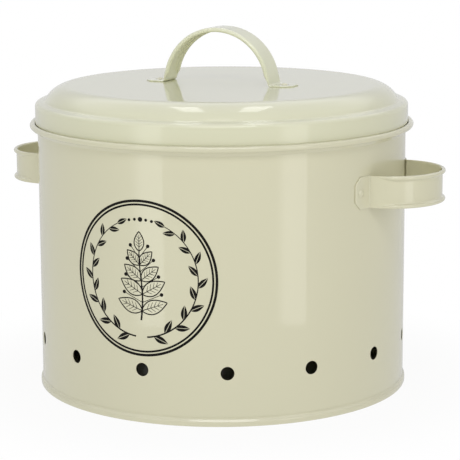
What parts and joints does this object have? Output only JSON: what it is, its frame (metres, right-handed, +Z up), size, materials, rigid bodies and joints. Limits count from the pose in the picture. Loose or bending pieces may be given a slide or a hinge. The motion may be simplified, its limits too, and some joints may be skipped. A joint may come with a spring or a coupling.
{
  "type": "potato storage bin",
  "caption": "Round cream-enamelled steel kitchen bin with a stepped lift-off lid, strap handles and vent holes round its foot.",
  "frame": {"origin": "centre of the ring that the bin stands on, on the floor plane", "axes": "+Z up, +X towards the right-hand side handle, -Y towards the decorated front"},
  "size_m": [0.3034, 0.25, 0.2335],
  "materials": {
    "can_paint": "glossy pale cream enamel paint",
    "pan_paint": "glossy pale cream enamel paint",
    "side_handle_paint": "glossy pale cream enamel paint",
    "rivet_paint": "glossy pale cream enamel paint",
    "lid_paint": "glossy pale cream enamel paint",
    "lid_handle_paint": "glossy pale cream enamel paint"
  },
  "bodies": {
    "bin": {"can_wall": "can_paint", "bottom_pan": "pan_paint", "side_handle_left": "side_handle_paint", "side_handle_right": "side_handle_paint", "rivet_left_front": "rivet_paint", "rivet_left_back": "rivet_paint", "rivet_right_front": "rivet_paint", "rivet_right_back": "rivet_paint"},
    "lid": {"lid_shell": "lid_paint", "lid_handle": "lid_handle_paint", "lid_rivet_left": "rivet_paint", "lid_rivet_right": "rivet_paint"}
  },
  "joints": [
    {"name": "lid_lift", "type": "slide", "parent": "bin", "child": "lid", "axis": [0, 0, 1], "range_m": [0, 0.15]}
  ]
}
